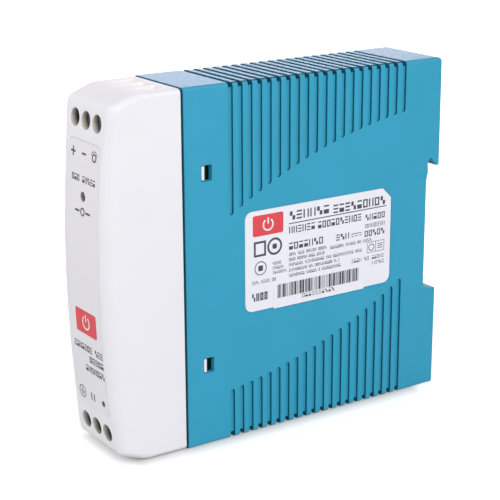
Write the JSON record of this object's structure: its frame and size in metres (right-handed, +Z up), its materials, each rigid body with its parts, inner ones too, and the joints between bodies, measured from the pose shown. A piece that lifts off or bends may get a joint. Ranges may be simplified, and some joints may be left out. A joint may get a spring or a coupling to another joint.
{
  "type": "din rail power supply",
  "caption": "Slim DIN rail power supply: vented teal housing, pale bowed front cover, screw terminals above and below, sprung rail latch.",
  "frame": {"origin": "on the base plane, under the middle of the bounding box", "axes": "+Z up the rail-mounted unit, front face towards -Y, rail recess towards +Y, +X to the right seen from the front"},
  "size_m": [0.0226, 0.1, 0.09],
  "materials": {
    "teal_plastic": "fine moulded texture",
    "white_plastic": "fine moulded texture",
    "label_film": "printed film",
    "clear_plastic": "clear moulding, dark inside",
    "latch_plastic": "fine moulded texture",
    "spring_steel": "drawn wire",
    "terminal_green": "moulded",
    "zinc_plate": "zinc plated",
    "tinned_copper": "tinned",
    "board_green": "solder mask",
    "black_epoxy": "moulded epoxy",
    "fish_paper": "pressed fibre sheet",
    "ferrite": "sintered, matt",
    "copper_wire": "enamelled wire",
    "coil_tape": "tape",
    "bobbin_plastic": "moulded",
    "capacitor_sleeve": "shrink sleeve",
    "blue_epoxy": "dipped epoxy",
    "green_epoxy": "dipped epoxy",
    "yellow_plastic": "moulded case",
    "heatsink_aluminium": "rolled sheet"
  },
  "bodies": {
    "case": {"housing": "teal_plastic", "front_cover": "white_plastic", "front_label": "label_film", "rating_label": "label_film", "serial_sticker": "label_film", "output_terminal_block": "terminal_green", "input_terminal_block": "terminal_green", "latch_spring": "spring_steel", "terminal_board": "board_green", "main_board": "board_green", "insulation_sheet": "fish_paper", "header_output": "black_epoxy", "header_input": "black_epoxy", "light_pipe": "clear_plastic", "status_led": "clear_plastic", "fuse": "black_epoxy", "inrush_thermistor": "green_epoxy", "varistor": "blue_epoxy", "x_capacitor": "yellow_plastic", "line_choke_core": "ferrite", "line_choke_coil_1": "copper_wire", "line_choke_coil_2": "copper_wire", "y_capacitor": "blue_epoxy", "bridge_rectifier": "black_epoxy", "bulk_capacitor": "capacitor_sleeve", "switch_heatsink": "heatsink_aluminium", "switching_transistor": "black_epoxy", "pwm_controller": "black_epoxy", "snubber_resistor": "green_epoxy", "clamp_diode": "black_epoxy", "transformer_core_front": "ferrite", "transformer_core_rear": "ferrite", "transformer_bobbin": "bobbin_plastic", "transformer_winding": "coil_tape", "output_rectifier": "black_epoxy", "output_capacitor_1": "capacitor_sleeve", "output_capacitor_2": "capacitor_sleeve", "output_choke": "copper_wire", "optocoupler": "black_epoxy", "shunt_regulator": "black_epoxy", "terminal_pin_1": "tinned_copper", "terminal_pin_2": "tinned_copper", "terminal_pin_3": "tinned_copper", "terminal_pin_4": "tinned_copper", "terminal_pin_5": "tinned_copper", "terminal_pin_6": "tinned_copper"},
    "latch": {"din_latch": "latch_plastic"},
    "screw_1": {"terminal_screw_1": "zinc_plate"},
    "cage_1": {"clamp_cage_1": "zinc_plate"},
    "screw_2": {"terminal_screw_2": "zinc_plate"},
    "cage_2": {"clamp_cage_2": "zinc_plate"},
    "screw_3": {"terminal_screw_3": "zinc_plate"},
    "cage_3": {"clamp_cage_3": "zinc_plate"},
    "screw_4": {"terminal_screw_4": "zinc_plate"},
    "cage_4": {"clamp_cage_4": "zinc_plate"},
    "screw_5": {"terminal_screw_5": "zinc_plate"},
    "cage_5": {"clamp_cage_5": "zinc_plate"},
    "screw_6": {"terminal_screw_6": "zinc_plate"},
    "cage_6": {"clamp_cage_6": "zinc_plate"}
  },
  "joints": [
    {"name": "latch_slide", "type": "slide", "parent": "case", "child": "latch", "axis": [0, 0, -1], "range_m": [0, 0.004], "stiffness_N_per_m": 600, "springref_m": -0.003, "deforming": ["latch_spring"]},
    {"name": "screw_1_turn", "type": "hinge", "parent": "case", "child": "screw_1", "pos_m": [-0.0053, -0.0444, 0.0829], "axis": [0, 1, 0], "range_deg": [0, 1800]},
    {"name": "cage_1_slide", "type": "slide", "parent": "case", "child": "cage_1", "axis": [0, -1, 0], "range_m": [0, 0.0025]},
    {"name": "screw_2_turn", "type": "hinge", "parent": "case", "child": "screw_2", "pos_m": [0, -0.0444, 0.0829], "axis": [0, 1, 0], "range_deg": [0, 1800]},
    {"name": "cage_2_slide", "type": "slide", "parent": "case", "child": "cage_2", "axis": [0, -1, 0], "range_m": [0, 0.0025]},
    {"name": "screw_3_turn", "type": "hinge", "parent": "case", "child": "screw_3", "pos_m": [0.0053, -0.0444, 0.0829], "axis": [0, 1, 0], "range_deg": [0, 1800]},
    {"name": "cage_3_slide", "type": "slide", "parent": "case", "child": "cage_3", "axis": [0, -1, 0], "range_m": [0, 0.0025]},
    {"name": "screw_4_turn", "type": "hinge", "parent": "case", "child": "screw_4", "pos_m": [-0.0053, -0.0444, 0.0071], "axis": [0, 1, 0], "range_deg": [0, 1800]},
    {"name": "cage_4_slide", "type": "slide", "parent": "case", "child": "cage_4", "axis": [0, -1, 0], "range_m": [0, 0.0025]},
    {"name": "screw_5_turn", "type": "hinge", "parent": "case", "child": "screw_5", "pos_m": [0, -0.0444, 0.0071], "axis": [0, 1, 0], "range_deg": [0, 1800]},
    {"name": "cage_5_slide", "type": "slide", "parent": "case", "child": "cage_5", "axis": [0, -1, 0], "range_m": [0, 0.0025]},
    {"name": "screw_6_turn", "type": "hinge", "parent": "case", "child": "screw_6", "pos_m": [0.0053, -0.0444, 0.0071], "axis": [0, 1, 0], "range_deg": [0, 1800]},
    {"name": "cage_6_slide", "type": "slide", "parent": "case", "child": "cage_6", "axis": [0, -1, 0], "range_m": [0, 0.0025]}
  ],
  "couplings": [
    {"joint": "screw_1_turn", "follows": "cage_1_slide", "rad_per_m": 12566},
    {"joint": "screw_2_turn", "follows": "cage_2_slide", "rad_per_m": 12566},
    {"joint": "screw_3_turn", "follows": "cage_3_slide", "rad_per_m": 12566},
    {"joint": "screw_4_turn", "follows": "cage_4_slide", "rad_per_m": 12566},
    {"joint": "screw_5_turn", "follows": "cage_5_slide", "rad_per_m": 12566},
    {"joint": "screw_6_turn", "follows": "cage_6_slide", "rad_per_m": 12566}
  ]
}
